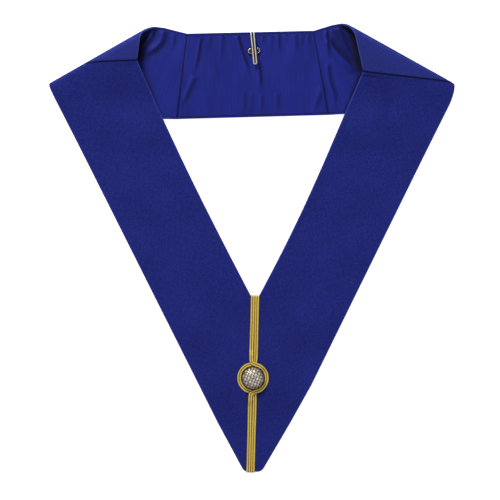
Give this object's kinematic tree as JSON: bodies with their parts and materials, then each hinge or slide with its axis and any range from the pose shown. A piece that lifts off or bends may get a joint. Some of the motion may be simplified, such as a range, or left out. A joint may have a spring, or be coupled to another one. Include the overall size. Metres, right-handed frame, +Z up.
{
  "type": "masonic collar",
  "caption": "Lodge officer's collar lying flat: dark blue stiffened cloth strips mitred to a front point, gold braid down the front, silver dome button, neck hook.",
  "frame": {"origin": "middle of the collar's outline as it lies, on the surface", "axes": "+Y towards the neck, along the length; +X to the right as seen from above; +Z up, through the thickness"},
  "size_m": [0.4746, 0.5246, 0.0196],
  "materials": {
    "face_cloth": "matt dark blue close-woven face cloth over a stiffener",
    "lining_cloth": "soft blue lining cloth with a faint sheen, creased",
    "gold_braid": "gilt thread, two-cord flat braid",
    "silver_thread": "basket-woven silver thread over a dome",
    "hook_wire": "worn nickel-plated wire"
  },
  "bodies": {
    "root": {"front_panel_left": "face_cloth", "front_panel_right": "face_cloth", "shoulder_piece_left": "face_cloth", "shoulder_piece_right": "face_cloth", "back_neck_piece": "face_cloth", "lining_back": "lining_cloth", "lining_shoulder_left": "lining_cloth", "lining_shoulder_right": "lining_cloth", "braid_left": "gold_braid", "braid_right": "gold_braid", "button": "silver_thread", "neck_hook": "hook_wire"}
  },
  "joints": []
}
